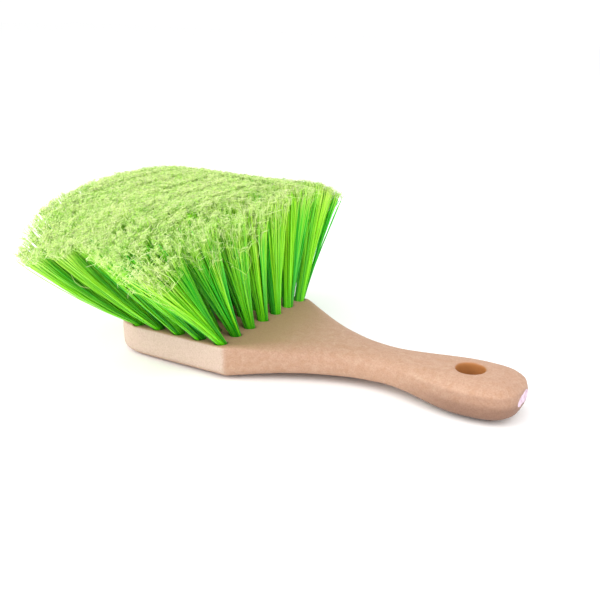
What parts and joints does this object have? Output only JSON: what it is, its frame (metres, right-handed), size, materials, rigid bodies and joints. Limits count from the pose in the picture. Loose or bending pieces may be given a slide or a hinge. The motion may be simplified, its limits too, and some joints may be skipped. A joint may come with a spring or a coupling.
{
  "type": "wheel brush",
  "caption": "Short-handled wash brush with a flat one-piece foam-plastic block and handle, a hang hole, and soft tufts that fan out.",
  "frame": {"origin": "on the flat back of the head, under the middle of the tuft field", "axes": "+X along the handle towards its end, +Y to the side, +Z from the flat back up through the bristles"},
  "size_m": [0.2245, 0.1892, 0.0869],
  "materials": {
    "block_foam": "moulded structural foam with a fine pebbled skin",
    "bristle_filament": "soft translucent filament, flagged to pale tips",
    "anchor_wire": "galvanised flat wire"
  },
  "bodies": {
    "root": {"block_with_handle": "block_foam", "tuft_r1_c1": "bristle_filament", "tuft_r1_c2": "bristle_filament", "tuft_r1_c3": "bristle_filament", "tuft_r1_c4": "bristle_filament", "tuft_r1_c5": "bristle_filament", "tuft_r1_c6": "bristle_filament", "tuft_r1_c7": "bristle_filament", "tuft_r2_c1": "bristle_filament", "tuft_r2_c2": "bristle_filament", "tuft_r2_c3": "bristle_filament", "tuft_r2_c4": "bristle_filament", "tuft_r2_c5": "bristle_filament", "tuft_r2_c6": "bristle_filament", "tuft_r2_c7": "bristle_filament", "tuft_r3_c1": "bristle_filament", "tuft_r3_c2": "bristle_filament", "tuft_r3_c3": "bristle_filament", "tuft_r3_c4": "bristle_filament", "tuft_r3_c5": "bristle_filament", "tuft_r3_c6": "bristle_filament", "tuft_r3_c7": "bristle_filament", "tuft_r4_c1": "bristle_filament", "tuft_r4_c2": "bristle_filament", "tuft_r4_c3": "bristle_filament", "tuft_r4_c4": "bristle_filament", "tuft_r4_c5": "bristle_filament", "tuft_r4_c6": "bristle_filament", "tuft_r4_c7": "bristle_filament", "tuft_r5_c1": "bristle_filament", "tuft_r5_c2": "bristle_filament", "tuft_r5_c3": "bristle_filament", "tuft_r5_c4": "bristle_filament", "tuft_r5_c5": "bristle_filament", "tuft_r5_c6": "bristle_filament", "tuft_r5_c7": "bristle_filament", "tuft_r6_c2": "bristle_filament", "tuft_r6_c3": "bristle_filament", "tuft_r6_c4": "bristle_filament", "tuft_r6_c5": "bristle_filament", "tuft_r6_c6": "bristle_filament", "anchor_r1_c2": "anchor_wire", "anchor_r1_c4": "anchor_wire", "anchor_r1_c6": "anchor_wire", "anchor_r2_c1": "anchor_wire", "anchor_r2_c3": "anchor_wire", "anchor_r2_c5": "anchor_wire", "anchor_r2_c7": "anchor_wire", "anchor_r3_c2": "anchor_wire", "anchor_r3_c4": "anchor_wire", "anchor_r3_c6": "anchor_wire", "anchor_r4_c1": "anchor_wire", "anchor_r4_c3": "anchor_wire", "anchor_r4_c5": "anchor_wire", "anchor_r4_c7": "anchor_wire", "anchor_r5_c2": "anchor_wire", "anchor_r5_c4": "anchor_wire", "anchor_r5_c6": "anchor_wire", "anchor_r6_c3": "anchor_wire", "anchor_r6_c5": "anchor_wire"}
  },
  "joints": []
}
